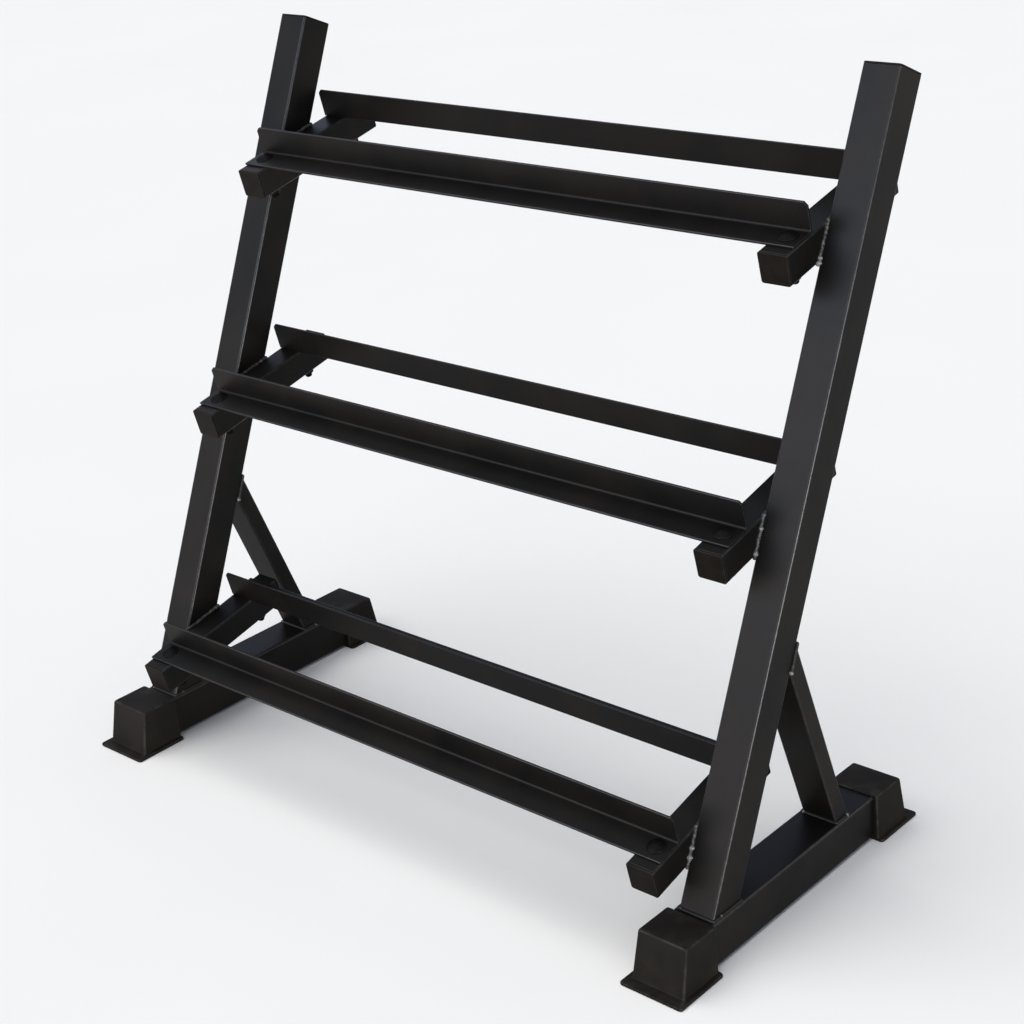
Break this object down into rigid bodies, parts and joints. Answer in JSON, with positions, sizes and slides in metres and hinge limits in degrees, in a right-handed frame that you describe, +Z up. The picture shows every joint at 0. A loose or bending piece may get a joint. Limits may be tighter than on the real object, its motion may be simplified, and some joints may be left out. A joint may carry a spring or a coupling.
{
  "type": "dumbbell rack",
  "caption": "Free-standing three-tier rack: leaning square-tube side frames on rubber boots, joined by bolted angle rails that hold dumbbells on sloping trays.",
  "frame": {"origin": "on the floor, under the middle of the bounding box", "axes": "+X along the rails, left to right as seen from the front; -Y to the front, +Y to the rear, the way the uprights lean; +Z up"},
  "size_m": [1.06, 0.5704, 0.9813],
  "materials": {
    "powder_coat": "satin black powder coat",
    "rubber": "matt moulded rubber",
    "plastic": "matt moulded plastic",
    "black_steel": "black-coated steel fasteners"
  },
  "bodies": {
    "root": {"base_beam_left": "powder_coat", "boot_front_left": "rubber", "boot_rear_left": "rubber", "upright_left": "powder_coat", "upright_cap_left": "plastic", "brace_left": "powder_coat", "base_beam_right": "powder_coat", "boot_front_right": "rubber", "boot_rear_right": "rubber", "upright_right": "powder_coat", "upright_cap_right": "plastic", "brace_right": "powder_coat", "arm_bottom_left": "powder_coat", "plug_bottom_left_front": "plastic", "plug_bottom_left_rear": "plastic", "bolt_bottom_left_front": "black_steel", "nut_bottom_left_front": "black_steel", "bolt_bottom_left_rear": "black_steel", "nut_bottom_left_rear": "black_steel", "arm_bottom_right": "powder_coat", "plug_bottom_right_front": "plastic", "plug_bottom_right_rear": "plastic", "bolt_bottom_right_front": "black_steel", "nut_bottom_right_front": "black_steel", "bolt_bottom_right_rear": "black_steel", "nut_bottom_right_rear": "black_steel", "rail_bottom_front": "powder_coat", "rail_bottom_rear": "powder_coat", "arm_middle_left": "powder_coat", "plug_middle_left_front": "plastic", "plug_middle_left_rear": "plastic", "bolt_middle_left_front": "black_steel", "nut_middle_left_front": "black_steel", "bolt_middle_left_rear": "black_steel", "nut_middle_left_rear": "black_steel", "arm_middle_right": "powder_coat", "plug_middle_right_front": "plastic", "plug_middle_right_rear": "plastic", "bolt_middle_right_front": "black_steel", "nut_middle_right_front": "black_steel", "bolt_middle_right_rear": "black_steel", "nut_middle_right_rear": "black_steel", "rail_middle_front": "powder_coat", "rail_middle_rear": "powder_coat", "arm_top_left": "powder_coat", "plug_top_left_front": "plastic", "plug_top_left_rear": "plastic", "bolt_top_left_front": "black_steel", "nut_top_left_front": "black_steel", "bolt_top_left_rear": "black_steel", "nut_top_left_rear": "black_steel", "arm_top_right": "powder_coat", "plug_top_right_front": "plastic", "plug_top_right_rear": "plastic", "bolt_top_right_front": "black_steel", "nut_top_right_front": "black_steel", "bolt_top_right_rear": "black_steel", "nut_top_right_rear": "black_steel", "rail_top_front": "powder_coat", "rail_top_rear": "powder_coat"}
  },
  "joints": []
}
